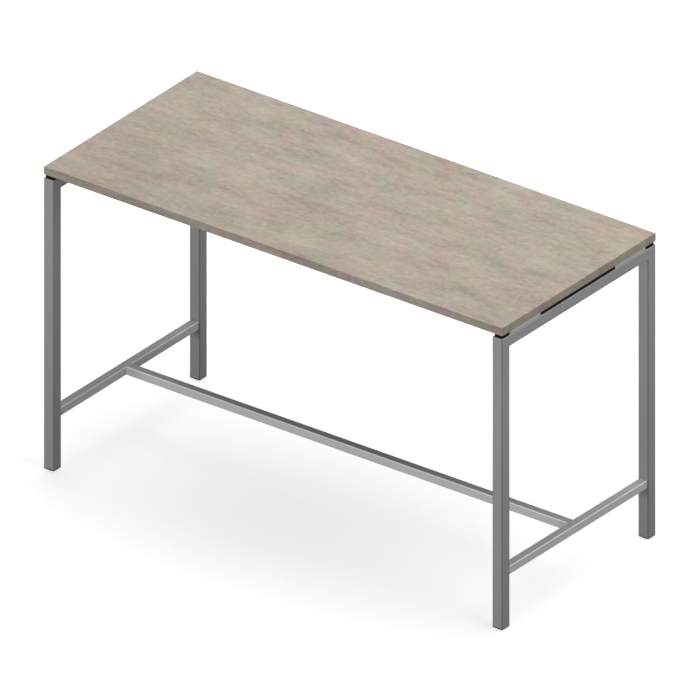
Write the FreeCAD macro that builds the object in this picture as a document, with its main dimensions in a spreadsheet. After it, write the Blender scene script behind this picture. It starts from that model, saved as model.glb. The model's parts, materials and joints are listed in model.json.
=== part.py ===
"""Standing meeting table: a banded panel on two welded end frames, tied by a foot stretcher.

Millimetres. X runs along the table, Y across it, Z up. The origin is on the floor, under the
centre of the panel. Threads are plain cylinders with a named thread fit.
"""
import FreeCAD
import Part
import math
import os
import re
import Sketcher

SIZES = {
    # Panel and its edge bands
    "top_length": 1800,
    "top_width": 800,
    "top_thickness": 27,
    "overall_height": 1075,
    "band_thickness": 2,
    "band_rounding": 1.5,
    # Square tube of the legs and crossbars
    "tube_size": 40,
    "tube_wall": 2,
    "tube_rounding": 4,
    # Square tube of the foot rails and the stretcher
    "rail_size": 30,
    "rail_wall": 2,
    "rail_rounding": 3.5,
    "rail_clear_height": 182,
    # Spigots that carry the ends of the stretcher
    "spigot_length": 60,
    "spigot_wall": 2,
    "spigot_rounding": 2.5,
    "spigot_clearance": 0.5,
    "lock_distance": 30,
    # Spacers that leave the shadow gap under the panel
    "gap_height": 12,
    "corner_spacer_width": 34,
    "corner_spacer_length": 43,
    "corner_spacer_inset": 2,
    "corner_spacer_rounding": 10,
    "centre_spacer_width": 36,
    "centre_spacer_length": 385,
    "centre_screw_spacing": 300,
    "spacer_rounding": 3,
    # Steel strips on the crossbars, clear of the plastic spacers at both ends
    "strip_width": 20,
    "strip_clearance": 1.25,
    # Beams under the panel and the plates that bolt them to the crossbars
    "beam_width": 25,
    "beam_depth": 40,
    "beam_wall": 2,
    "beam_rounding": 3,
    "beam_spacing": 380,
    "plate_thickness": 4,
    "plate_width": 72,
    "plate_depth": 34,
    "plate_rounding": 3,
    "plate_bolt_spacing": 50,
    "beam_spacer_length": 60,
    "beam_spacer_width": 22,
    "beam_spacer_inset": 256,
    # Plugs in the feet of the legs
    "plug_flange": 3,
    "plug_clearance": 0.2,
    "plug_depth": 30,
    "plug_shell": 3,
    "plug_hollow_depth": 18,
    "boss_radius": 9.5,
    "collar_socket_radius": 9,
    "collar_socket_depth": 5.5,
    # Levelling feet: a pad and the threaded stud that is held in it
    "pad_radius": 15,
    "pad_height": 5,
    "pad_floor": 1.5,
    "pad_chamfer": 0.8,
    "pad_groove_depth": 0.6,
    "pad_groove_width": 1.2,
    "stud_radius": 4,
    "stud_length": 30,
    "stud_tip_chamfer": 1,
    "collar_flats": 13,
    "collar_height": 4.5,
    "collar_lift": 0.5,
    "neck_radius": 3.5,
    "button_radius": 5,
    "button_height": 1.8,
    "swivel_clearance": 0.3,
    # Hexagon nuts
    "foot_nut_flats": 13,
    "foot_nut_height": 6.5,
    "plate_nut_flats": 10,
    "plate_nut_height": 5,
    # M6 bolts of the plates and lock screws of the stretcher
    "bolt_radius": 3,
    "bolt_length": 16,
    "bolt_tip_chamfer": 0.5,
    "bolt_head_radius": 5,
    "bolt_head_height": 6,
    "bolt_socket_flats": 5,
    "bolt_socket_depth": 3,
    "lock_screw_length": 12,
    "lock_head_height": 3.3,
    "lock_head_radius": 5.25,
    "lock_socket_flats": 4,
    "lock_socket_depth": 2,
    # Screws that hold the panel from below
    "wood_screw_radius": 2.5,
    "wood_screw_bite": 16,
    "wood_head_radius": 4.5,
    "wood_head_height": 3,
    "wood_point_length": 3,
    "wood_tip_radius": 1.2,
    "pilot_spare": 1.5,
    "access_hole_radius": 6,
    # Countersunk screws that hold the corner spacers
    "spacer_screw_radius": 2.2,
    "spacer_screw_length": 18,
    "spacer_head_radius": 4.4,
    "drive_flats": 3,
    "drive_depth": 2,
    # Clearances, all on the radius
    "bolt_clearance": 0.3,
    "thread_fit": 0.05,
    "nut_clearance": 0.1,
    # How far a through cut starts or ends outside what it cuts
    "cut_overrun": 1,
}

LEFT_RIGHT = (("left", -1), ("right", 1))
FRONT_REAR = (("front", -1), ("rear", 1))
START, END, CENTRE = 1, 2, 3
ORIGIN_POINT = (-1, 1)
X_AXIS = FreeCAD.Vector(1, 0, 0)
Y_AXIS = FreeCAD.Vector(0, 1, 0)
Z_AXIS = FreeCAD.Vector(0, 0, 1)
EDGE_TOLERANCE = 0.01

# Hollow sections: width, depth, wall and outside rounding
FRAME_SECTION = ("tube_size", "tube_size", "tube_wall", "tube_rounding")
RAIL_SECTION = ("rail_size", "rail_size", "rail_wall", "rail_rounding")
BEAM_SECTION = ("beam_width", "beam_depth", "beam_wall", "beam_rounding")
SPIGOT_SIZE = "(rail_size - 2 * rail_wall - 2 * spigot_clearance)"
SPIGOT_SECTION = (SPIGOT_SIZE, SPIGOT_SIZE, "spigot_wall", "spigot_rounding")

# Heights and places that several pieces share
FRAME_TOP = "(overall_height - top_thickness - gap_height)"
LEG_FOOT = "(pad_height + plug_flange)"
LEG_X = "(top_length / 2 - tube_size / 2)"
LEG_Y = "(top_width / 2 - tube_size / 2)"
CROSSBAR_Z = f"({FRAME_TOP} - tube_size / 2)"
RAIL_Z = "(rail_clear_height + rail_size / 2)"
RAIL_FACE_X = f"({LEG_X} - rail_size / 2)"
CROSSBAR_FACE_X = f"({LEG_X} - tube_size / 2)"
BEAM_END_X = f"({CROSSBAR_FACE_X} - plate_thickness)"
BEAM_Z = f"({FRAME_TOP} - beam_depth / 2)"
CORNER_SPACER_X = "(top_length / 2 - corner_spacer_inset - corner_spacer_width / 2)"
CORNER_SPACER_Y = "(top_width / 2 - corner_spacer_inset - corner_spacer_length / 2)"
STRIP_X = "(top_length / 2 - tube_rounding - strip_width / 2)"
CORNER_SPACER_END = "(top_width / 2 - corner_spacer_inset - corner_spacer_length)"
STRIP_Y = f"(({CORNER_SPACER_END} + centre_spacer_length / 2) / 2)"
STRIP_LENGTH = f"({CORNER_SPACER_END} - centre_spacer_length / 2 - 2 * strip_clearance)"
BUTTON_TOP = "(pad_floor + button_height)"
COLLAR_BOTTOM = "(pad_height + collar_lift)"
COLLAR_TOP = f"({COLLAR_BOTTOM} + collar_height)"
BEAM_SPACER_X = f"({BEAM_END_X} - beam_spacer_inset)"
SCREW_HOLE = "(wood_screw_radius + bolt_clearance)"
WOOD_SHANK = "(tube_wall + gap_height + wood_screw_bite)"
BEAM_SHANK = "(beam_wall + gap_height + wood_screw_bite)"

doc = FreeCAD.newDocument("standing_table")
sheet = doc.addObject("Spreadsheet::Sheet", "Sizes")
for row, (alias, number) in enumerate(SIZES.items(), start=1):
    sheet.set(f"A{row}", alias)
    sheet.set(f"B{row}", str(number))
    sheet.setAlias(f"B{row}", alias)
doc.recompute()

nodes = []


# Expressions and placing ---------------------------------------------------------------------

def expression(text):
    """Point each size name in the text at its cell in the sheet."""
    return re.sub(r"[a-z_]+", lambda word: f"Sizes.{word[0]}" if word[0] in SIZES else word[0], text)


def value(text):
    """The present number of an expression."""
    return float(sheet.evalExpression(expression(text)))


def bind(target, prop, text):
    target.setExpression(prop, expression(text))


def place(target, x="0", y="0", z="0", turn=0, about=Z_AXIS):
    """Put an object at bound coordinates, turned by a fixed angle about one axis."""
    target.Placement = FreeCAD.Placement(FreeCAD.Vector(), FreeCAD.Rotation(about, turn))
    for letter, text in zip("xyz", (x, y, z)):
        bind(target, f"Placement.Base.{letter}", text)


def new_body(label):
    made = doc.addObject("PartDesign::Body", label)
    made.Label = label
    return made


def keep(piece):
    """List a finished sub-part for export."""
    nodes.append(piece)
    return piece


# Sketches ------------------------------------------------------------------------------------

def new_sketch(owner, plane, lift="0"):
    """A sketch on one of the body's own origin planes, lifted along the plane's normal."""
    made = owner.newObject("Sketcher::SketchObject", "Sketch")
    support = next(f for f in owner.Origin.OriginFeatures if f.Role == plane)
    made.AttachmentSupport = [(support, "")]
    made.MapMode = "FlatFace"
    bind(made, "AttachmentOffset.Base.z", lift)
    return made


def dimension(sketch, kind, *references, text):
    """Add a dimension and tie it to its expression."""
    index = sketch.addConstraint(Sketcher.Constraint(kind, *references, value(text)))
    name = f"size_{index}"
    sketch.renameConstraint(index, name)
    bind(sketch, f"Constraints.{name}", text)


def pin(sketch, geometry, point, x, y):
    """Tie one point of the sketch to coordinates from the origin."""
    dimension(sketch, "DistanceX", *ORIGIN_POINT, geometry, point, text=x)
    dimension(sketch, "DistanceY", *ORIGIN_POINT, geometry, point, text=y)


def draw_polygon(sketch, points):
    """A closed outline through points given as pairs of expressions."""
    corners = [FreeCAD.Vector(value(x), value(y), 0) for x, y in points]
    count = len(points)
    first = sketch.GeometryCount
    for index in range(count):
        sketch.addGeometry(Part.LineSegment(corners[index], corners[(index + 1) % count]))
    for index in range(count):
        following = first + (index + 1) % count
        sketch.addConstraint(Sketcher.Constraint("Coincident", first + index, END, following, START))
    for index, (x, y) in enumerate(points):
        pin(sketch, first + index, START, x, y)


def draw_circle(sketch, radius, x="0", y="0"):
    centre = FreeCAD.Vector(value(x), value(y), 0)
    index = sketch.addGeometry(Part.Circle(centre, Z_AXIS, value(radius)))
    dimension(sketch, "Radius", index, text=radius)
    pin(sketch, index, CENTRE, x, y)


def draw_hexagon(sketch, flats):
    """A hexagon about the origin, with two of its flats along the first axis."""
    half = f"({flats}) / 2"
    corner = f"({flats}) / 2 / cos(30)"
    half_corner = f"({flats}) / 4 / cos(30)"
    draw_polygon(sketch, [
        (corner, "0"), (half_corner, half), (f"-{half_corner}", half),
        (f"-{corner}", "0"), (f"-{half_corner}", f"-{half}"), (half_corner, f"-{half}"),
    ])


def draw_rounded_rectangle(sketch, width, depth, radius):
    """A rectangle about the origin with four equal corner arcs."""
    half_x, half_y, bend = value(width) / 2, value(depth) / 2, value(radius)
    in_x, in_y = half_x - bend, half_y - bend
    first = sketch.GeometryCount
    ends = [
        ((-in_x, -half_y), (in_x, -half_y)),
        ((half_x, -in_y), (half_x, in_y)),
        ((in_x, half_y), (-in_x, half_y)),
        ((-half_x, in_y), (-half_x, -in_y)),
    ]
    centres = [(in_x, -in_y), (in_x, in_y), (-in_x, in_y), (-in_x, -in_y)]
    for side, (start, end) in enumerate(ends):
        sketch.addGeometry(Part.LineSegment(FreeCAD.Vector(*start, 0), FreeCAD.Vector(*end, 0)))
        circle = Part.Circle(FreeCAD.Vector(*centres[side], 0), Z_AXIS, bend)
        angles = (math.radians(90 * side - 90), math.radians(90 * side))
        sketch.addGeometry(Part.ArcOfCircle(circle, *angles))
    for step in range(8):
        following = first + (step + 1) % 8
        sketch.addConstraint(Sketcher.Constraint("Tangent", first + step, END, following, START))
    for step, kind in ((0, "Horizontal"), (2, "Vertical"), (4, "Horizontal"), (6, "Vertical")):
        sketch.addConstraint(Sketcher.Constraint(kind, first + step))
    for step in (3, 5, 7):
        sketch.addConstraint(Sketcher.Constraint("Equal", first + 1, first + step))
    opposite = (first + 3, CENTRE, first + 7, CENTRE)
    sketch.addConstraint(Sketcher.Constraint("Symmetric", *opposite, *ORIGIN_POINT))
    dimension(sketch, "Radius", first + 1, text=radius)
    dimension(sketch, "DistanceX", first + 6, START, first + 2, START, text=width)
    dimension(sketch, "DistanceY", first, START, first + 4, START, text=depth)


# Features ------------------------------------------------------------------------------------

def pad(owner, sketch, length, symmetric=False):
    made = owner.newObject("PartDesign::Pad", "Pad")
    made.Profile = sketch
    made.SideType = "Symmetric" if symmetric else "One side"
    bind(made, "Length", length)
    return made


def pocket(owner, sketch, length, symmetric=False, upward=False):
    """Cut along minus the sketch's normal, or along it when upward."""
    made = owner.newObject("PartDesign::Pocket", "Pocket")
    made.Profile = sketch
    made.SideType = "Symmetric" if symmetric else "One side"
    made.Reversed = upward
    bind(made, "Length", length)
    return made


def turned(owner, points, kind="PartDesign::Revolution"):
    """Revolve an outline of radius and height pairs about the body's Z axis."""
    sketch = new_sketch(owner, "XZ_Plane")
    draw_polygon(sketch, points)
    made = owner.newObject(kind, "Turned")
    made.Profile = sketch
    made.ReferenceAxis = (sketch, ["V_Axis"])
    made.Angle = 360
    return made


def round_holes(owner, lift, radius, centres, depth, upward=False, plane="XY_Plane"):
    """Round holes of one radius, cut from one sketch."""
    sketch = new_sketch(owner, plane, lift)
    for x, y in centres:
        draw_circle(sketch, radius, x, y)
    return pocket(owner, sketch, depth, upward=upward)


def tube(label, plane, size_x, size_y, wall, rounding, length, symmetric):
    """A length of rectangular hollow section, drawn across the given plane."""
    made = new_body(label)
    section = new_sketch(made, plane)
    draw_rounded_rectangle(section, size_x, size_y, rounding)
    inside = [f"{size} - 2 * {wall}" for size in (size_x, size_y)]
    draw_rounded_rectangle(section, *inside, f"{rounding} - {wall}")
    pad(made, section, length, symmetric=symmetric)
    return made


def mitre(owner, outer, top, to_leg):
    """Cut a tube end at 45 degrees and round the outside corner of the frame.

    outer is the place of the frame's outer face along Y and top that of its upper face along Z,
    both in the body's own frame. The cut clears the half of the joint that the other tube fills.
    """
    inward = 1 if outer.startswith("-") else -1
    bite = "tube_rounding * (1 - cos(45))"
    reach = "(tube_size + tube_rounding)"
    centre = (f"{outer} + {inward} * tube_rounding", f"{top} - tube_rounding")
    tip = (f"{outer} + {inward} * {bite}", f"{top} - {bite}")
    heel = (f"{outer} + {inward} * {reach}", f"{top} - {reach}")
    beyond = (f"{outer} - {inward} * tube_rounding", f"{top} + tube_rounding")
    if to_leg:
        start = (outer, centre[1])
        start_angle = 90 + 90 * inward
        around = [(heel[0], beyond[1]), beyond, (beyond[0], start[1])]
    else:
        start = (centre[0], top)
        start_angle = 90
        around = [(beyond[0], heel[1]), beyond, (start[0], beyond[1])]
    tip_angle = 90 + 45 * inward
    angles = sorted(math.radians(angle) for angle in (start_angle, tip_angle))
    at_start, at_tip = (START, END) if start_angle < tip_angle else (END, START)

    sketch = new_sketch(owner, "YZ_Plane")
    middle = FreeCAD.Vector(value(centre[0]), value(centre[1]), 0)
    sketch.addGeometry(Part.ArcOfCircle(Part.Circle(middle, Z_AXIS, value("tube_rounding")), *angles))
    points = [tip, heel] + around + [start]
    corners = [FreeCAD.Vector(value(x), value(y), 0) for x, y in points]
    for start_corner, end_corner in zip(corners, corners[1:]):
        sketch.addGeometry(Part.LineSegment(start_corner, end_corner))
    last = len(points) - 1
    sketch.addConstraint(Sketcher.Constraint("Coincident", 0, at_tip, 1, START))
    for index in range(1, last):
        sketch.addConstraint(Sketcher.Constraint("Coincident", index, END, index + 1, START))
    sketch.addConstraint(Sketcher.Constraint("Coincident", last, END, 0, at_start))
    for index, (x, y) in enumerate(points[:-1], start=1):
        pin(sketch, index, START, x, y)
    pin(sketch, last, END, *start)
    dimension(sketch, "Radius", 0, text="tube_rounding")
    pocket(owner, sketch, "2 * tube_size", symmetric=True)


# Panel ---------------------------------------------------------------------------------------

BEAM_SPACER_PLACES = (("left", -1), ("middle", 0), ("right", 1))


def panel_screw_places():
    """Where screws enter the panel: above the beams, then above the crossbars."""
    beams = [
        (f"{step} * {BEAM_SPACER_X}", f"{side} * beam_spacing / 2")
        for _, step in BEAM_SPACER_PLACES for _, side in FRONT_REAR
    ]
    crossbars = [
        (f"{end} * {LEG_X}", f"{side} * centre_screw_spacing / 2")
        for _, end in LEFT_RIGHT for _, side in FRONT_REAR
    ]
    return beams, crossbars


def make_panel():
    made = keep(new_body("tabletop_panel"))
    outline = new_sketch(made, "XY_Plane")
    inner_x = "(top_length / 2 - band_thickness)"
    inner_y = "(top_width / 2 - band_thickness)"
    draw_polygon(outline, [
        (f"-{inner_x}", f"-{inner_y}"), (inner_x, f"-{inner_y}"),
        (inner_x, inner_y), (f"-{inner_x}", inner_y),
    ])
    pad(made, outline, "top_thickness")
    beams, crossbars = panel_screw_places()
    round_holes(made, "0", "wood_screw_radius + thread_fit", beams + crossbars,
            "wood_screw_bite + pilot_spare", upward=True)
    place(made, z="overall_height - top_thickness")


def showing_edges(strip, with_ends):
    """Names of a band's outer long edges and, if asked, of the edges round its ends."""
    doc.recompute()
    names = []
    for index, edge in enumerate(strip.Shape.Edges, start=1):
        outside = edge.BoundBox.YMin < EDGE_TOLERANCE
        along = edge.BoundBox.XLength > EDGE_TOLERANCE
        if outside and (along or with_ends):
            names.append(f"Edge{index}")
    return names


def make_band(label, length, x, y, turn, with_ends):
    """A band along X whose outer face looks along -Y before it is turned."""
    made = keep(new_body(label))
    outline = new_sketch(made, "YZ_Plane")
    draw_polygon(outline, [
        ("0", "0"), ("band_thickness", "0"),
        ("band_thickness", "top_thickness"), ("0", "top_thickness"),
    ])
    strip = pad(made, outline, length, symmetric=True)
    rounded = made.newObject("PartDesign::Fillet", "Rounding")
    rounded.Base = (strip, showing_edges(strip, with_ends))
    bind(rounded, "Radius", "band_rounding")
    place(made, x, y, "overall_height - top_thickness", turn)


def make_bands():
    """Long bands cover the ends of the short ones."""
    long_y = "top_width / 2"
    make_band("edge_band_front", "top_length", "0", f"-{long_y}", 0, with_ends=True)
    make_band("edge_band_rear", "top_length", "0", long_y, 180, with_ends=True)
    short_length = "top_width - 2 * band_thickness"
    make_band("edge_band_right", short_length, "top_length / 2", "0", 90, with_ends=False)
    make_band("edge_band_left", short_length, "-top_length / 2", "0", -90, with_ends=False)


# End frames ----------------------------------------------------------------------------------

def make_leg(label, end, side):
    """An upright tube, open at the floor and mitred at the top. Its outer face looks along -Y."""
    height = f"({FRAME_TOP} - {LEG_FOOT})"
    made = keep(tube(label, "XY_Plane", *FRAME_SECTION, height, symmetric=False))
    mitre(made, "-tube_size / 2", height, to_leg=True)
    turn = 0 if side < 0 else 180
    place(made, f"{end} * {LEG_X}", f"{side} * {LEG_Y}", LEG_FOOT, turn)


def make_crossbar(label, end):
    """A tube across the table, mitred at both ends. Its inner face looks along -X."""
    made = keep(tube(label, "XZ_Plane", *FRAME_SECTION, "top_width", symmetric=True))
    mitre(made, "-top_width / 2", "tube_size / 2", to_leg=False)
    mitre(made, "top_width / 2", "tube_size / 2", to_leg=False)
    through = "tube_size / 2 + cut_overrun"
    centre_screws = [("0", f"{side} * centre_screw_spacing / 2") for _, side in FRONT_REAR]
    round_holes(made, "0", SCREW_HOLE, centre_screws, through, upward=True)
    round_holes(made, "0", "access_hole_radius", centre_screws, through)
    corner_screws = [
        (f"{CORNER_SPACER_X} - {LEG_X}", f"{side} * {CORNER_SPACER_Y}") for _, side in FRONT_REAR
    ]
    round_holes(made, "tube_size / 2 - 2 * tube_wall", "spacer_screw_radius + thread_fit",
            corner_screws, "3 * tube_wall", upward=True)
    plate_bolts = [
        (f"{side} * beam_spacing / 2 + {step} * plate_bolt_spacing / 2", "0")
        for _, side in FRONT_REAR for step in (-1, 1)
    ]
    round_holes(made, "0", "bolt_radius + bolt_clearance", plate_bolts, through, plane="YZ_Plane")
    turn = 0 if end > 0 else 180
    place(made, f"{end} * {LEG_X}", "0", CROSSBAR_Z, turn)


def make_foot_rail(label, end):
    length = "top_width - 2 * tube_size"
    made = keep(tube(label, "XZ_Plane", *RAIL_SECTION, length, symmetric=True))
    place(made, f"{end} * {LEG_X}", "0", RAIL_Z)


def make_end_frames():
    for end_name, end in LEFT_RIGHT:
        for side_name, side in FRONT_REAR:
            make_leg(f"leg_{side_name}_{end_name}", end, side)
        make_crossbar(f"top_crossbar_{end_name}", end)
        make_foot_rail(f"foot_rail_{end_name}", end)


# Stretcher -----------------------------------------------------------------------------------

def make_stretcher():
    """The long tube between the foot rails, slipped over a welded spigot at each end."""
    length = f"2 * {RAIL_FACE_X}"
    made = keep(tube("foot_stretcher", "YZ_Plane", *RAIL_SECTION, length, symmetric=True))
    locks = [(f"{end} * ({RAIL_FACE_X} - lock_distance)", "0") for _, end in LEFT_RIGHT]
    round_holes(made, "0", "bolt_radius + bolt_clearance", locks, "rail_size / 2 + cut_overrun")
    place(made, z=RAIL_Z)
    for end_name, end in LEFT_RIGHT:
        spigot = keep(tube(f"stretcher_spigot_{end_name}", "YZ_Plane", *SPIGOT_SECTION,
                           "spigot_length", symmetric=True))
        lock = [("spigot_length / 2 - lock_distance", "0")]
        round_holes(spigot, "0", "bolt_radius + thread_fit", lock, "rail_size / 2")
        turn = 0 if end > 0 else 180
        place(spigot, f"{end} * ({RAIL_FACE_X} - spigot_length / 2)", "0", RAIL_Z, turn)


# Spacers -------------------------------------------------------------------------------------

def make_spacer(label, length_x, length_y, holes, x, y, rounding="spacer_rounding"):
    """A flat block that fills the gap between the frame and the panel."""
    made = keep(new_body(label))
    outline = new_sketch(made, "XY_Plane")
    draw_rounded_rectangle(outline, length_x, length_y, rounding)
    pad(made, outline, "gap_height")
    if holes:
        round_holes(made, "0", SCREW_HOLE, holes, "gap_height + cut_overrun", upward=True)
    place(made, x, y, FRAME_TOP)
    return made


def make_spacers():
    countersink = "(spacer_head_radius + bolt_clearance)"
    shank_hole = "(spacer_screw_radius + bolt_clearance)"
    for end_name, end in LEFT_RIGHT:
        for side_name, side in FRONT_REAR:
            block = make_spacer(f"corner_spacer_{side_name}_{end_name}", "corner_spacer_width",
                                "corner_spacer_length", [], f"{end} * {CORNER_SPACER_X}",
                                f"{side} * {CORNER_SPACER_Y}", "corner_spacer_rounding")
            turned(block, [
                ("0", "gap_height"), (countersink, "gap_height"),
                (shank_hole, f"gap_height - ({countersink} - {shank_hole})"),
                (shank_hole, "0"), ("0", "0"),
            ], kind="PartDesign::Groove")
        holes = [("0", f"{side} * centre_screw_spacing / 2") for _, side in FRONT_REAR]
        make_spacer(f"centre_spacer_{end_name}", "centre_spacer_width", "centre_spacer_length",
                    holes, f"{end} * {LEG_X}", "0")
        for side_name, side in FRONT_REAR:
            make_spacer(f"support_strip_{side_name}_{end_name}", "strip_width", STRIP_LENGTH,
                        [], f"{end} * {STRIP_X}", f"{side} * {STRIP_Y}")
    for side_name, side in FRONT_REAR:
        for step_name, step in BEAM_SPACER_PLACES:
            make_spacer(f"beam_spacer_{side_name}_{step_name}", "beam_spacer_length",
                        "beam_spacer_width", [("0", "0")], f"{step} * {BEAM_SPACER_X}",
                        f"{side} * beam_spacing / 2")


# Beams ---------------------------------------------------------------------------------------

def make_beams():
    """Two tubes under the panel, each welded to a drilled plate at both ends."""
    screws = [(f"{step} * {BEAM_SPACER_X}", "0") for _, step in BEAM_SPACER_PLACES]
    bolts = [(f"{step} * plate_bolt_spacing / 2", "0") for step in (-1, 1)]
    for side_name, side in FRONT_REAR:
        beam = keep(tube(f"support_beam_{side_name}", "YZ_Plane", *BEAM_SECTION,
                         f"2 * {BEAM_END_X}", symmetric=True))
        through = "beam_depth / 2 + cut_overrun"
        round_holes(beam, "0", SCREW_HOLE, screws, through, upward=True)
        round_holes(beam, "0", "access_hole_radius", screws, through)
        place(beam, "0", f"{side} * beam_spacing / 2", BEAM_Z)
        for end_name, end in LEFT_RIGHT:
            plate = keep(new_body(f"beam_end_plate_{side_name}_{end_name}"))
            outline = new_sketch(plate, "YZ_Plane")
            draw_rounded_rectangle(outline, "plate_width", "plate_depth", "plate_rounding")
            for y, z in bolts:
                draw_circle(outline, "bolt_radius + bolt_clearance", y, z)
            pad(plate, outline, "plate_thickness", symmetric=True)
            place(plate, f"{end} * ({BEAM_END_X} + plate_thickness / 2)",
                  f"{side} * beam_spacing / 2", CROSSBAR_Z)


# Levelling feet ------------------------------------------------------------------------------

def make_plug(label, end, side):
    """A moulded plug: flange under the tube, shell inside it, and a boss that holds the nut."""
    made = keep(new_body(label))
    flange = new_sketch(made, "XY_Plane")
    draw_rounded_rectangle(flange, "tube_size", "tube_size", "tube_rounding")
    pad(made, flange, "plug_flange")
    size = "(tube_size - 2 * tube_wall - 2 * plug_clearance)"
    rounding = "(tube_rounding - tube_wall - plug_clearance)"
    insert = new_sketch(made, "XY_Plane", "plug_flange")
    draw_rounded_rectangle(insert, size, size, rounding)
    pad(made, insert, "plug_depth")
    hollow = new_sketch(made, "XY_Plane", "plug_flange + plug_depth")
    hollow_size = f"{size} - 2 * plug_shell"
    draw_rounded_rectangle(hollow, hollow_size, hollow_size, rounding)
    draw_circle(hollow, "boss_radius")
    pocket(made, hollow, "plug_hollow_depth")
    socket = "collar_socket_depth"
    round_holes(made, "0", "collar_socket_radius", [("0", "0")], socket, upward=True)
    seat = new_sketch(made, "XY_Plane", socket)
    draw_hexagon(seat, "foot_nut_flats + 2 * nut_clearance")
    pocket(made, seat, "foot_nut_height", upward=True)
    round_holes(made, "0", "stud_radius + bolt_clearance", [("0", "0")],
            "plug_flange + plug_depth + cut_overrun", upward=True)
    place(made, f"{end} * {LEG_X}", f"{side} * {LEG_Y}", "pad_height")


def make_foot_pad(label, end, side):
    """A round pad with a groove about its rim and a closed seat for the button of the stud."""
    made = keep(new_body(label))
    cavity = "(button_radius + swivel_clearance)"
    mouth = "(neck_radius + swivel_clearance)"
    cavity_top = f"({BUTTON_TOP} + swivel_clearance)"
    groove = "(pad_radius - pad_groove_depth)"
    groove_low = "(pad_height / 2 - pad_groove_width / 2)"
    groove_high = "(pad_height / 2 + pad_groove_width / 2)"
    turned(made, [
        ("0", "0"), ("pad_radius - pad_chamfer", "0"), ("pad_radius", "pad_chamfer"),
        ("pad_radius", groove_low), (groove, groove_low), (groove, groove_high),
        ("pad_radius", groove_high), ("pad_radius", "pad_height - pad_chamfer"),
        ("pad_radius - pad_chamfer", "pad_height"), (mouth, "pad_height"),
        (mouth, cavity_top), (cavity, cavity_top), (cavity, "pad_floor"), ("0", "pad_floor"),
    ])
    place(made, f"{end} * {LEG_X}", f"{side} * {LEG_Y}")


def make_foot_stud(label, end, side):
    """A threaded stud: button in the pad, neck, hexagon collar and shank."""
    made = keep(new_body(label))
    shank = "(stud_radius - thread_fit)"
    top = f"({COLLAR_TOP} + stud_length)"
    turned(made, [
        ("0", "pad_floor"), ("button_radius", "pad_floor"), ("button_radius", BUTTON_TOP),
        ("neck_radius", BUTTON_TOP), ("neck_radius", COLLAR_TOP), (shank, COLLAR_TOP),
        (shank, f"{top} - stud_tip_chamfer"), (f"{shank} - stud_tip_chamfer", top), ("0", top),
    ])
    collar = new_sketch(made, "XY_Plane", COLLAR_BOTTOM)
    draw_hexagon(collar, "collar_flats")
    pad(made, collar, "collar_height")
    place(made, f"{end} * {LEG_X}", f"{side} * {LEG_Y}")


def make_feet():
    for end_name, end in LEFT_RIGHT:
        for side_name, side in FRONT_REAR:
            place_name = f"{side_name}_{end_name}"
            make_plug(f"leg_plug_{place_name}", end, side)
            make_foot_pad(f"foot_pad_{place_name}", end, side)
            make_foot_stud(f"foot_stud_{place_name}", end, side)


# Fasteners -----------------------------------------------------------------------------------

def make_screw(label, radius, length, tip_radius, tip_length, head, socket_flats, socket_depth):
    """One screw, head up: its seat is at zero height and its shank points down.

    head is the outline of the head from the shank outward and up to its flat top.
    """
    made = new_body(label)
    tip = f"-({length})"
    turned(made, [("0", tip), (tip_radius, tip), (radius, f"{tip} + {tip_length}")] + head)
    drive = new_sketch(made, "XY_Plane", head[-1][1])
    draw_hexagon(drive, socket_flats)
    pocket(made, drive, socket_depth)
    return made


def make_nut(label, flats, height, bore):
    made = new_body(label)
    outline = new_sketch(made, "XY_Plane")
    draw_hexagon(outline, flats)
    draw_circle(outline, bore)
    pad(made, outline, height)
    return made


def group(label, single, places, turn=0, about=X_AXIS):
    """Copies of one fastener at bound places, kept as separate solids of one sub-part."""
    copies = []
    for index, (x, y, z, *own_turn) in enumerate(places, start=1):
        copy = doc.addObject("App::Link", f"{label}_{index}")
        copy.LinkedObject = single
        copy.LinkTransform = False
        place(copy, x, y, z, *(own_turn or (turn, about)))
        copies.append(copy)
    made = doc.addObject("Part::Compound", label)
    made.Label = label
    made.Links = copies
    keep(made)


def flat_head(radius, head_radius, head_height):
    """Outline of a cylindrical head from its seat up."""
    return [(radius, "0"), (head_radius, "0"), (head_radius, head_height), ("0", head_height)]


def make_panel_screws():
    """Screws that hold the panel from below, through the beams and through the crossbars."""
    beam_places, crossbar_places = panel_screw_places()
    head = flat_head("wood_screw_radius", "wood_head_radius", "wood_head_height")
    tip = ("wood_tip_radius", "wood_point_length")
    drive = ("drive_flats", "drive_depth")
    for label, shank, wall, places in (
        ("beam_panel_screws", BEAM_SHANK, "beam_wall", beam_places),
        ("crossbar_panel_screws", WOOD_SHANK, "tube_wall", crossbar_places),
    ):
        screw = make_screw(f"one_{label}", "wood_screw_radius", shank, *tip, head, *drive)
        seats = [(x, y, f"{FRAME_TOP} - {wall}") for x, y in places]
        group(label, screw, seats, turn=180)


def make_spacer_screws():
    cone = "(spacer_head_radius - spacer_screw_radius)"
    head = [("spacer_screw_radius", f"-{cone}"), ("spacer_head_radius", "0"), ("0", "0")]
    screw = make_screw("one_corner_spacer_screw", "spacer_screw_radius", "spacer_screw_length",
                       "wood_tip_radius", "wood_point_length", head, "drive_flats", "drive_depth")
    seats = [
        (f"{end} * {CORNER_SPACER_X}", f"{side} * {CORNER_SPACER_Y}",
         f"{FRAME_TOP} + gap_height - bolt_clearance + thread_fit")
        for _, end in LEFT_RIGHT for _, side in FRONT_REAR
    ]
    group("corner_spacer_screws", screw, seats)


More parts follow.
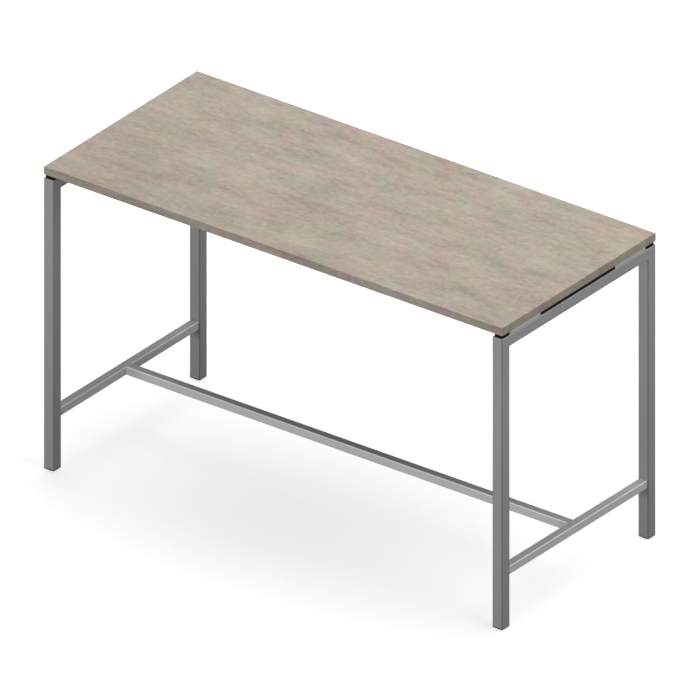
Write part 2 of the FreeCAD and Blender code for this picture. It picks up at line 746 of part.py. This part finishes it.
def make_plate_bolts():
    """Bolts through the end plates of the beams, with nuts inside the crossbars."""
    tip = ("bolt_radius - bolt_tip_chamfer", "bolt_tip_chamfer")
    head = flat_head("bolt_radius", "bolt_head_radius", "bolt_head_height")
    bolt = make_screw("one_plate_bolt", "bolt_radius", "bolt_length", *tip, head,
                      "bolt_socket_flats", "bolt_socket_depth")
    nut = make_nut("one_plate_nut", "plate_nut_flats", "plate_nut_height",
                   "bolt_radius + thread_fit")
    bolts = []
    nuts = []
    for _, end in LEFT_RIGHT:
        for _, side in FRONT_REAR:
            for step in (-1, 1):
                y = f"{side} * beam_spacing / 2 + {step} * plate_bolt_spacing / 2"
                bolts.append((f"{end} * {BEAM_END_X}", y, CROSSBAR_Z, -90 * end, Y_AXIS))
                nut_x = f"{end} * ({CROSSBAR_FACE_X} + tube_wall)"
                nuts.append((nut_x, y, CROSSBAR_Z, 90 * end, Y_AXIS))
    group("beam_plate_bolts", bolt, bolts)
    group("beam_plate_nuts", nut, nuts)


def make_lock_screws():
    """Screws from below that hold the stretcher on its spigots."""
    tip = ("bolt_radius - bolt_tip_chamfer", "bolt_tip_chamfer")
    head = flat_head("bolt_radius", "lock_head_radius", "lock_head_height")
    screw = make_screw("one_lock_screw", "bolt_radius", "lock_screw_length", *tip, head,
                       "lock_socket_flats", "lock_socket_depth")
    seats = [
        (f"{end} * ({RAIL_FACE_X} - lock_distance)", "0", "rail_clear_height") for _, end in LEFT_RIGHT
    ]
    group("stretcher_lock_screws", screw, seats, turn=180)


def make_foot_nuts():
    nut = make_nut("one_foot_nut", "foot_nut_flats", "foot_nut_height", "stud_radius")
    seats = [
        (f"{end} * {LEG_X}", f"{side} * {LEG_Y}", "pad_height + collar_socket_depth")
        for _, end in LEFT_RIGHT for _, side in FRONT_REAR
    ]
    group("foot_thread_nuts", nut, seats)


def make_fasteners():
    make_panel_screws()
    make_spacer_screws()
    make_plate_bolts()
    make_lock_screws()
    make_foot_nuts()


# Build, test and write -----------------------------------------------------------------------

make_panel()
make_bands()
make_end_frames()
make_stretcher()
make_spacers()
make_beams()
make_feet()
make_fasteners()
doc.recompute()

for item in doc.Objects:
    if "Invalid" in item.State or "Error" in item.State:
        raise RuntimeError(f"{item.Label} did not recompute: {item.State}")
for piece in nodes:
    if piece.Shape.isNull() or not piece.Shape.isValid() or not piece.Shape.Solids:
        raise RuntimeError(f"{piece.Label} has no valid solid")

os.makedirs("parts", exist_ok=True)
for piece in nodes:
    piece.Shape.exportStep(f"parts/{piece.Label}.step")
print(f"{len(nodes)} sub-parts written")
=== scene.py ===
"""Looks of the standing meeting table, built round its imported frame. Metres, Z up."""
import json
import math

import bmesh
import bpy
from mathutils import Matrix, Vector


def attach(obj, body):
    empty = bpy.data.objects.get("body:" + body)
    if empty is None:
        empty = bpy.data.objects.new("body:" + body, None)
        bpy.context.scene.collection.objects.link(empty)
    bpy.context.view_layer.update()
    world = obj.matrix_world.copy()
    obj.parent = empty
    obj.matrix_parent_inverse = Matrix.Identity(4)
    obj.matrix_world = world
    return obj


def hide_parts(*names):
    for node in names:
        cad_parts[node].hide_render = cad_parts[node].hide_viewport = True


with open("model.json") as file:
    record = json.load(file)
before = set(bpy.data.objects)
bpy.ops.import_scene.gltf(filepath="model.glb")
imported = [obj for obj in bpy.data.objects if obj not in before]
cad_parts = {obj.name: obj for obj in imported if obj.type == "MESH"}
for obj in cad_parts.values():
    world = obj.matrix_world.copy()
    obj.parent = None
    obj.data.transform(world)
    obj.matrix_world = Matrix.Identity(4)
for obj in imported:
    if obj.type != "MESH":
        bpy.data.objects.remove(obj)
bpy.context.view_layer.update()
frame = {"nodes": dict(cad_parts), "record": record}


# Node trees ----------------------------------------------------------------------------------

# Sockets of a Mix node that mixes colours. Their names are shared with its other data types.
MIX_FACTOR, MIX_FIRST, MIX_SECOND = 0, 6, 7
MIX_RESULT = 2


class Surface:
    """One material, with short calls for the nodes that its shader needs."""

    def __init__(self, name, **sockets):
        self.material = bpy.data.materials.new(name)
        self.material.use_nodes = True
        self.tree = self.material.node_tree
        self.shader = self.tree.nodes["Principled BSDF"]
        for socket, value in sockets.items():
            self.feed(socket.replace("_", " "), value)

    def put(self, socket, value):
        """Link a node's output into a socket, or set the socket to a plain value."""
        if isinstance(value, bpy.types.NodeSocket):
            self.tree.links.new(value, socket)
        else:
            socket.default_value = value

    def feed(self, name, value):
        """Put a value into a socket of the shader."""
        self.put(self.shader.inputs[name], value)

    def node(self, kind, inputs=None, **settings):
        """A new node, with its settings made before its inputs are put in."""
        made = self.tree.nodes.new(kind)
        for key, value in settings.items():
            setattr(made, key, value)
        for key, value in (inputs or {}).items():
            self.put(made.inputs[key], value)
        return made

    def place(self, scale=(1, 1, 1), shift=(0, 0, 0)):
        """Object coordinates in metres, stretched and shifted."""
        source = self.node("ShaderNodeTexCoord").outputs["Object"]
        inputs = {"Vector": source, "Scale": scale, "Location": shift}
        return self.node("ShaderNodeMapping", inputs).outputs["Vector"]

    def facing(self):
        """The X, Y and Z parts of the direction that the surface looks in."""
        normal = self.node("ShaderNodeTexCoord").outputs["Normal"]
        return self.node("ShaderNodeSeparateXYZ", {"Vector": normal}).outputs

    def noise(self, scale, detail, roughness, distortion=0.0, shift=(0, 0, 0)):
        """Noise with its own count of features per metre along each axis."""
        inputs = {
            "Vector": self.place(scale, shift), "Scale": 1.0, "Detail": detail,
            "Roughness": roughness, "Distortion": distortion,
        }
        return self.node("ShaderNodeTexNoise", inputs).outputs["Fac"]

    def ramp(self, value, span, to=(0.0, 1.0)):
        """Linear map of a value from one span to another, clamped."""
        inputs = {
            "Value": value, "From Min": span[0], "From Max": span[1],
            "To Min": to[0], "To Max": to[1],
        }
        return self.node("ShaderNodeMapRange", inputs).outputs["Result"]

    def calc(self, operation, *values):
        """One step of arithmetic."""
        made = self.node("ShaderNodeMath", dict(enumerate(values)), operation=operation)
        return made.outputs[0]

    def product(self, *values):
        """All the values multiplied, from the first to the last."""
        total = values[0]
        for value in values[1:]:
            total = self.calc("MULTIPLY", total, value)
        return total

    def mix(self, factor, first, second, blend="MIX"):
        """Two colours mixed or blended, each a node's output or a tuple of three numbers."""
        made = self.node("ShaderNodeMix", data_type="RGBA", blend_type=blend)
        self.put(made.inputs[MIX_FACTOR], factor)
        for index, colour in ((MIX_FIRST, first), (MIX_SECOND, second)):
            self.put(made.inputs[index], (*colour, 1) if isinstance(colour, tuple) else colour)
        return made.outputs[MIX_RESULT]

    def tinted(self, colour, tint):
        """A colour times another one."""
        return self.mix(1.0, colour, tint, "MULTIPLY")

    def scaled(self, colour, factor):
        """A colour times a grey factor."""
        grey = self.node("ShaderNodeCombineColor", {"Red": factor, "Green": factor, "Blue": factor})
        return self.tinted(colour, grey.outputs["Color"])

    def bump(self, height, distance, strength):
        """Fine relief in the shading, its distance in metres."""
        inputs = {"Height": height, "Distance": distance, "Strength": strength}
        self.feed("Normal", self.node("ShaderNodeBump", inputs).outputs["Normal"])


def rgb(red, green, blue):
    """A colour in 0 to 255 screen values, as the linear one that nodes take."""
    def linear(value):
        part = value / 255
        return part / 12.92 if part <= 0.04045 else ((part + 0.055) / 1.055) ** 2.4
    return tuple(linear(value) for value in (red, green, blue))


# Materials -----------------------------------------------------------------------------------

# Noise lies about this middle, and nearly all of it inside the span
NOISE_MIDDLE = 0.5
NOISE_SPAN = (0.3, 0.7)

# Tints of the decor's clouds
GREENISH = (0.925, 1.0, 0.955)
ROSY = (1.0, 0.885, 0.945)
COOL = (1.0, 1.0, 1.045)
WARM = (1.0, 1.0, 0.95)

# Where the painted rim shade sets in, by Z of the direction that a band looks in: between edges
# that look down and those beside them, and between upright faces and those that look up
BAND_UNDER_SPAN = (-0.9, -0.1)
BAND_TOP_SPAN = (0.6, 0.97)

# Where the painted shade and highlight of the paint set in. An upright edge is told by X times Y of
# the direction that the surface looks in, and a level one by Z times the level part. Both are 0 on
# a flat face and 0.5 halfway round an edge, and the second is below 0 where the edge looks down.
UPRIGHT_EDGE_SPAN = (0.02, 0.36)
UPPER_EDGE_SPAN = (0.08, 0.45)
UNDER_EDGE_SPAN = (-0.4, -0.04)
# Z of the direction, from the edge to the face that looks up, over which the painted top shade sets
# in
TOP_FACE_SPAN = (0.8, 0.97)
# Height over the floor, over which the painted shade at the foot fades
FOOT_SPAN = (0.0, 0.75)


def decor(name, dark, light, contrast=1.0, painted_rim_shade=None):
    """Streaked decor paper: soft patches, streaks and fibres along X, greenish and rosy clouds.

    A painted rim shade darkens the faces that look up and the edges that look down, as on
    the bands.
    """
    surface = Surface(name, Specular_IOR_Level=0.2)
    patches = surface.noise((4.0, 11.0, 11.0), detail=1.0, roughness=0.5, distortion=0.2)
    streaks = surface.noise(
        (9.0, 36.0, 36.0), detail=2.0, roughness=0.6, distortion=0.1, shift=(1.7, 4.4, 0.9))
    lines = surface.noise(
        (55.0, 85.0, 85.0), detail=2.0, roughness=0.6, distortion=0.1, shift=(3.3, 8.8, 6.1))
    fibres = surface.noise((260.0, 620.0, 620.0), detail=2.0, roughness=0.5, shift=(5.1, 0.4, 2.2))
    layer_shares = ((patches, 0.78), (streaks, 0.85), (lines, 1.05), (fibres, 0.6))
    shade = NOISE_MIDDLE
    for layer, share in layer_shares:
        centred = surface.calc("SUBTRACT", layer, NOISE_MIDDLE)
        shade = surface.calc("MULTIPLY_ADD", centred, share * contrast, shade)
    base = surface.mix(surface.ramp(shade, (0.0, 1.0)), dark, light)
    clouds = surface.noise(
        (12.0, 11.0, 11.0), detail=1.5, roughness=0.6, distortion=0.4, shift=(7.3, 2.1, 5.5))
    base = surface.tinted(base, surface.mix(surface.ramp(clouds, NOISE_SPAN), GREENISH, ROSY))
    glow = surface.noise(
        (10.0, 10.0, 10.0), detail=1.5, roughness=0.6, distortion=0.4, shift=(1.1, 6.4, 2.6))
    base = surface.tinted(base, surface.mix(surface.ramp(glow, NOISE_SPAN), COOL, WARM))
    # Painted shade on the band's top and on its edges that look down
    if painted_rim_shade:
        up = surface.facing()["Z"]
        rim = surface.product(
            surface.ramp(up, BAND_TOP_SPAN, to=(1.0, painted_rim_shade)),
            surface.ramp(up, BAND_UNDER_SPAN, to=(painted_rim_shade, 1.0)),
        )
        base = surface.scaled(base, rim)
    surface.feed("Base Color", base)
    surface.feed("Roughness", surface.ramp(streaks, (0.2, 0.8), to=(0.50, 0.62)))
    surface.bump(surface.calc("ADD", fibres, lines), distance=0.00006, strength=0.5)
    return surface.material


def paint(name, tone, roughness, painted_upright_edge_shade, painted_upper_edge_highlight, painted_under_edge_shade, painted_top_face_shade, foot):
    """Satin powder coat: fine flakes, orange peel, painted shade and highlight on rounded edges.

    The last five are painted shade and highlight, as factors of the tone: painted shade on upright
    edges, a painted highlight on level edges that look up and painted shade on those that look
    down, painted shade on faces that look up, and painted shade at the floor.
    """
    surface = Surface(name, Specular_IOR_Level=0.08)
    flakes = surface.noise((900, 900, 900), detail=2.0, roughness=0.6)
    clouds = surface.noise((6, 6, 3), detail=2.0, roughness=0.5, shift=(2.0, 1.0, 4.0))
    peel = surface.noise((320, 320, 320), detail=1.0, roughness=0.4)
    parts = surface.facing()
    turned = surface.calc("ABSOLUTE", surface.product(parts["X"], parts["Y"]))
    lean = surface.calc("SUBTRACT", 1.0, surface.product(parts["Z"], parts["Z"]))
    rise = surface.product(parts["Z"], surface.calc("SQRT", lean))
    height = surface.node("ShaderNodeSeparateXYZ", {"Vector": surface.place()}).outputs["Z"]
    factor = surface.product(
        surface.ramp(flakes, NOISE_SPAN, to=(0.94, 1.05)),
        # Painted shade on upright edges
        surface.ramp(turned, UPRIGHT_EDGE_SPAN, to=(1.0, painted_upright_edge_shade)),
        # Painted highlight on level edges that look up
        surface.ramp(rise, UPPER_EDGE_SPAN, to=(1.0, painted_upper_edge_highlight)),
        # Painted shade on level edges that look down
        surface.ramp(rise, UNDER_EDGE_SPAN, to=(painted_under_edge_shade, 1.0)),
        # Painted shade on faces that look up
        surface.ramp(parts["Z"], TOP_FACE_SPAN, to=(1.0, painted_top_face_shade)),
        surface.ramp(clouds, NOISE_SPAN, to=(0.985, 1.015)),
        # Painted shade, darker towards the floor
        surface.ramp(height, FOOT_SPAN, to=(foot, 1.0)),
    )
    surface.feed("Base Color", surface.scaled(tone, factor))
    satin = surface.ramp(flakes, NOISE_SPAN, to=(roughness - 0.04, roughness + 0.05))
    surface.feed("Roughness", satin)
    surface.bump(peel, distance=0.00004, strength=0.35)
    return surface.material


def plastic(name, tone, roughness):
    """Moulded plastic with a fine spark-eroded grain."""
    surface = Surface(name, Specular_IOR_Level=0.05)
    grain = surface.noise((1100, 1100, 1100), detail=2.0, roughness=0.6)
    cloud = surface.noise((25, 25, 25), detail=2.0, roughness=0.5)
    factor = surface.ramp(grain, NOISE_SPAN, to=(0.8, 1.25))
    surface.feed("Base Color", surface.scaled(tone, factor))
    matte = surface.ramp(cloud, NOISE_SPAN, to=(roughness - 0.05, roughness + 0.05))
    surface.feed("Roughness", matte)
    surface.bump(grain, distance=0.00005, strength=0.6)
    return surface.material


def zinc(name, tone):
    """Bright zinc plating with faint spangle and turning marks."""
    surface = Surface(name, Metallic=1.0)
    spangle = surface.noise((400, 400, 400), detail=2.0, roughness=0.5, distortion=0.5)
    rings = surface.noise((60, 60, 2600), detail=2.0, roughness=0.5)
    factor = surface.ramp(spangle, NOISE_SPAN, to=(0.9, 1.08))
    surface.feed("Base Color", surface.scaled(tone, factor))
    surface.feed("Roughness", surface.ramp(rings, NOISE_SPAN, to=(0.24, 0.38)))
    surface.bump(rings, distance=0.00002, strength=0.4)
    return surface.material


MATERIALS = {
    "panel_decor": decor("panel_decor", rgb(161, 151, 137), rgb(206, 195, 180)),
    "edge_band": decor(
        "edge_band", rgb(138, 129, 118), rgb(175, 166, 153), contrast=1.2, painted_rim_shade=0.7),
    "silver_steel": paint(
        "silver_steel", rgb(157, 157, 158), roughness=0.45, painted_upright_edge_shade=0.55, painted_upper_edge_highlight=1.22,
        painted_under_edge_shade=0.55, painted_top_face_shade=1.0, foot=0.81),
    # The rails' silver is the frame's paint made lighter: a painted brightness, not a paint of its
    # own
    "rail_silver": paint(
        "rail_silver", rgb(196, 196, 197), roughness=0.4, painted_upright_edge_shade=0.8, painted_upper_edge_highlight=1.7,
        painted_under_edge_shade=0.6, painted_top_face_shade=0.93, foot=1.0),
    "black_plastic": plastic("black_plastic", rgb(14, 14, 15), roughness=0.7),
    "zinc_steel": zinc("zinc_steel", rgb(190, 190, 186)),
}

SLOT_OF = {part["node"]: part["material_slot"] for part in frame["record"]["subparts"]}
for node_name, node_object in frame["nodes"].items():
    finish = MATERIALS[SLOT_OF[node_name]]
    node_object.data.materials.clear()
    node_object.data.materials.append(finish)


# Threaded studs of the levelling feet --------------------------------------------------------

# Heights are over the floor, in metres like the radii and the width across the flats
STUD_STEPS = 48
THREAD_PITCH = 0.00125
CREST_RADIUS, ROOT_RADIUS = 0.00395, 0.00325
# Share of one pitch and radius at each bend of the thread's outline
THREAD_OUTLINE = (
    (0.0, ROOT_RADIUS), (0.22, ROOT_RADIUS), (0.52, CREST_RADIUS), (0.70, CREST_RADIUS),
)
SHANK_LOW, SHANK_TOP, TIP_CHAMFER = 0.010, 0.040, 0.001
BUTTON_LOW, BUTTON_TOP, BUTTON_RADIUS = 0.0015, 0.0033, 0.005
NECK_RADIUS = 0.0035
COLLAR_LOW, COLLAR_TOP, COLLAR_FLATS = 0.0055, 0.010, 0.013
COLLAR_CHAMFER = 0.0006
# Points that lie closer together than this become one
WELD_DISTANCE = 1e-7
# Axis of a leg and its foot, from the middle of the table
LEG_X, LEG_Y = 0.88, 0.38


def join_rings(mesh, rings, close_low=False, close_top=False):
    """Skin closed rings of points, one above the other, into the mesh."""
    loops = [[mesh.verts.new(point) for point in ring] for ring in rings]
    count = len(loops[0])
    for low, top in zip(loops, loops[1:]):
        for step in range(count):
            after = (step + 1) % count
            mesh.faces.new((low[step], low[after], top[after], top[step]))
    if close_low:
        mesh.faces.new(tuple(reversed(loops[0])))
    if close_top:
        mesh.faces.new(tuple(loops[-1]))


def circle(radius, height):
    """A level ring of points about the stud's axis."""
    turns = [2 * math.pi * step / STUD_STEPS for step in range(STUD_STEPS)]
    return [(radius * math.cos(turn), radius * math.sin(turn), height) for turn in turns]


def hexagon_ring(cut, height):
    """A hexagon across the collar's flats, with its corners trimmed to a circle."""
    ring = []
    reach = COLLAR_FLATS / 2 / math.cos(math.pi / 6) - cut
    for step in range(STUD_STEPS):
        turn = 2 * math.pi * step / STUD_STEPS
        off = (turn % (math.pi / 3)) - math.pi / 6
        radius = min(COLLAR_FLATS / 2 / math.cos(off), reach)
        ring.append((radius * math.cos(turn), radius * math.sin(turn), height))
    return ring


def thread_point(turn_share, bend_share, radius, pitches):
    """A point of the thread's helix, held between the collar and the tip."""
    height = SHANK_LOW + (pitches + bend_share + turn_share - 1) * THREAD_PITCH
    height = min(max(height, SHANK_LOW), SHANK_TOP)
    radius = min(radius, CREST_RADIUS - max(0, height - SHANK_TOP + TIP_CHAMFER))
    turn = 2 * math.pi * turn_share
    return (radius * math.cos(turn), radius * math.sin(turn), height)


def make_thread(mesh):
    """A right-hand thread as one strip wound round the shank, closed at both ends."""
    shares = [step / STUD_STEPS for step in range(STUD_STEPS + 1)]
    pitches = math.ceil((SHANK_TOP - SHANK_LOW) / THREAD_PITCH) + 1
    rows = [
        [thread_point(share, bend, radius, pitch) for share in shares]
        for pitch in range(pitches) for bend, radius in THREAD_OUTLINE
    ]
    rows = [[mesh.verts.new(point) for point in row] for row in rows]
    for low, top in zip(rows, rows[1:]):
        for step in range(STUD_STEPS):
            mesh.faces.new((low[step], low[step + 1], top[step + 1], top[step]))
    bmesh.ops.remove_doubles(mesh, verts=mesh.verts, dist=WELD_DISTANCE)
    bmesh.ops.dissolve_degenerate(mesh, edges=mesh.edges, dist=WELD_DISTANCE)


def make_stud(side_name, side, end_name, end):
    """Button, neck and collar as in the solid, with a real thread on the shank."""
    mesh = bmesh.new()
    make_thread(mesh)
    join_rings(mesh, [
        circle(BUTTON_RADIUS, BUTTON_LOW), circle(BUTTON_RADIUS, BUTTON_TOP),
        circle(NECK_RADIUS, BUTTON_TOP), circle(NECK_RADIUS, COLLAR_LOW),
    ], close_low=True)
    join_rings(mesh, [
        circle(NECK_RADIUS, COLLAR_LOW), hexagon_ring(COLLAR_CHAMFER, COLLAR_LOW),
        hexagon_ring(0, COLLAR_LOW + COLLAR_CHAMFER / 2),
        hexagon_ring(0, COLLAR_TOP - COLLAR_CHAMFER / 2),
        hexagon_ring(COLLAR_CHAMFER, COLLAR_TOP), circle(ROOT_RADIUS, COLLAR_TOP),
    ])
    tip_radius = CREST_RADIUS - TIP_CHAMFER
    join_rings(mesh, [circle(tip_radius, SHANK_TOP), circle(tip_radius / 2, SHANK_TOP)],
               close_top=True)
    name = f"stud_{side_name}_{end_name}"
    data = bpy.data.meshes.new(f"threaded_{name}")
    bmesh.ops.translate(mesh, verts=mesh.verts, vec=(end * LEG_X, side * LEG_Y, 0))
    mesh.to_mesh(data)
    mesh.free()
    piece = bpy.data.objects.new(f"threaded_{name}", data)
    bpy.context.scene.collection.objects.link(piece)
    data.materials.append(MATERIALS["zinc_steel"])
    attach(piece, name)
    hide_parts(f"foot_{name}")


for side_name, side in (("front", -1), ("rear", 1)):
    for end_name, end in (("left", -1), ("right", 1)):
        make_stud(side_name, side, end_name, end)


# Stage ---------------------------------------------------------------------------------------

# Strength of the white world as a fill light. The camera and reflections see it at 1.
WORLD_FILL = 0.04

# Half the side of the floor, and its grey for light that bounces and for what is seen
FLOOR_HALF = 30.0
FLOOR_BOUNCE = 0.08
FLOOR_PALE = 0.6
# The glow that lifts the floor towards white, and how far from the middle it starts to rise and
# reaches 1
FLOOR_LIFT = 0.72
FLOOR_NEAR, FLOOR_FAR = 2.2, 4.2

# Name, place, aim, width and height, and watts of each lamp
LAMPS = (
    ("overhead", (0.35, 0.6, 4.6), (0.25, 0.1, 1.0), (8.0, 2.4), 197),
    ("front", (-0.2, -11.0, 0.6), (0, 0, 0.6), (5.0, 1.4), 800),
    ("right", (11.0, -0.8, 1.2), (0, 0, 0.6), (5.0, 1.6), 374),
    ("left", (-8.0, 0.6, 0.5), (0, 0, 0.6), (4.0, 1.0), 270),
    ("rear", (-1.4, 6.8, 0.6), (0, 0, 0.6), (3.0, 1.0), 190),
)

# Camera: a parallel view from above the front right corner, with the shift of its aim to the right
AZIMUTH = math.radians(36.98)
ELEVATION = math.radians(28.03)
VIEW_WIDTH = 2.1939
AIM_HEIGHT = 0.5420
AIM_SHIFT = 0.0010
CAMERA_DISTANCE = 6.0


def make_world():
    """White for the camera and for reflections, a plain grey fill for everything else."""
    world = bpy.data.worlds.new("studio")
    bpy.context.scene.world = world
    world.use_nodes = True
    tree = world.node_tree
    back = tree.nodes["Background"]
    back.inputs["Color"].default_value = (1, 1, 1, 1)
    rays = tree.nodes.new("ShaderNodeLightPath").outputs
    seen = rays["Is Camera Ray"]
    for name in ("Is Glossy Ray", "Is Transmission Ray"):
        join = tree.nodes.new("ShaderNodeMath")
        join.operation = "MAXIMUM"
        tree.links.new(seen, join.inputs[0])
        tree.links.new(rays[name], join.inputs[1])
        seen = join.outputs[0]
    level = tree.nodes.new("ShaderNodeMapRange")
    level.inputs["To Min"].default_value = WORLD_FILL
    level.inputs["To Max"].default_value = 1.0
    tree.links.new(seen, level.inputs["Value"])
    tree.links.new(level.outputs["Result"], back.inputs["Strength"])


def make_floor():
    """A pale floor. It shows near white with the table's shadow, and bounces little light."""
    half = FLOOR_HALF
    mesh = bpy.data.meshes.new("floor")
    corners = [(-half, -half, 0), (half, -half, 0), (half, half, 0), (-half, half, 0)]
    mesh.from_pydata([Vector(corner) for corner in corners], [], [(0, 1, 2, 3)])
    floor = bpy.data.objects.new("floor", mesh)
    bpy.context.scene.collection.objects.link(floor)
    surface = Surface("floor", Roughness=0.9, Specular_IOR_Level=0.0)
    rays = surface.node("ShaderNodeLightPath").outputs
    seen = surface.calc("MAXIMUM", rays["Is Camera Ray"], rays["Is Glossy Ray"])
    seen = surface.calc("MAXIMUM", seen, rays["Is Transmission Ray"])
    surface.feed("Base Color", surface.mix(seen, (FLOOR_BOUNCE,) * 3, (FLOOR_PALE,) * 3))
    surface.feed("Emission Color", (1, 1, 1, 1))
    away = surface.node("ShaderNodeVectorMath", {0: surface.place()}, operation="LENGTH")
    lift = surface.ramp(away.outputs["Value"], (FLOOR_NEAR, FLOOR_FAR), to=(FLOOR_LIFT, 1.0))
    surface.feed("Emission Strength", surface.product(seen, lift))
    mesh.materials.append(surface.material)


def make_lamp(name, place, aim, size, power):
    """A soft rectangular studio lamp that the camera doesn't see."""
    lamp = bpy.data.lights.new(name, "AREA")
    lamp.shape = "RECTANGLE"
    lamp.size, lamp.size_y = size
    lamp.energy = power
    holder = bpy.data.objects.new(name, lamp)
    holder.location = place
    direction = Vector(aim) - Vector(place)
    holder.rotation_euler = direction.to_track_quat("-Z", "Y").to_euler()
    holder.visible_camera = False
    bpy.context.scene.collection.objects.link(holder)


def make_camera():
    """The photo's view, without perspective."""
    lens = bpy.data.cameras.new("camera")
    lens.type = "ORTHO"
    lens.ortho_scale = VIEW_WIDTH
    camera = bpy.data.objects.new("camera", lens)
    back = Vector((
        math.sin(AZIMUTH) * math.cos(ELEVATION),
        -math.cos(AZIMUTH) * math.cos(ELEVATION),
        math.sin(ELEVATION),
    ))
    right = Vector((math.cos(AZIMUTH), math.sin(AZIMUTH), 0))
    aim = Vector((0, 0, AIM_HEIGHT)) + right * AIM_SHIFT
    camera.location = aim + back * CAMERA_DISTANCE
    camera.rotation_euler = (-back).to_track_quat("-Z", "Y").to_euler()
    bpy.context.scene.collection.objects.link(camera)
    bpy.context.scene.camera = camera


bpy.context.scene.view_settings.view_transform = "Standard"
make_world()
make_floor()
for lamp_values in LAMPS:
    make_lamp(*lamp_values)
make_camera()
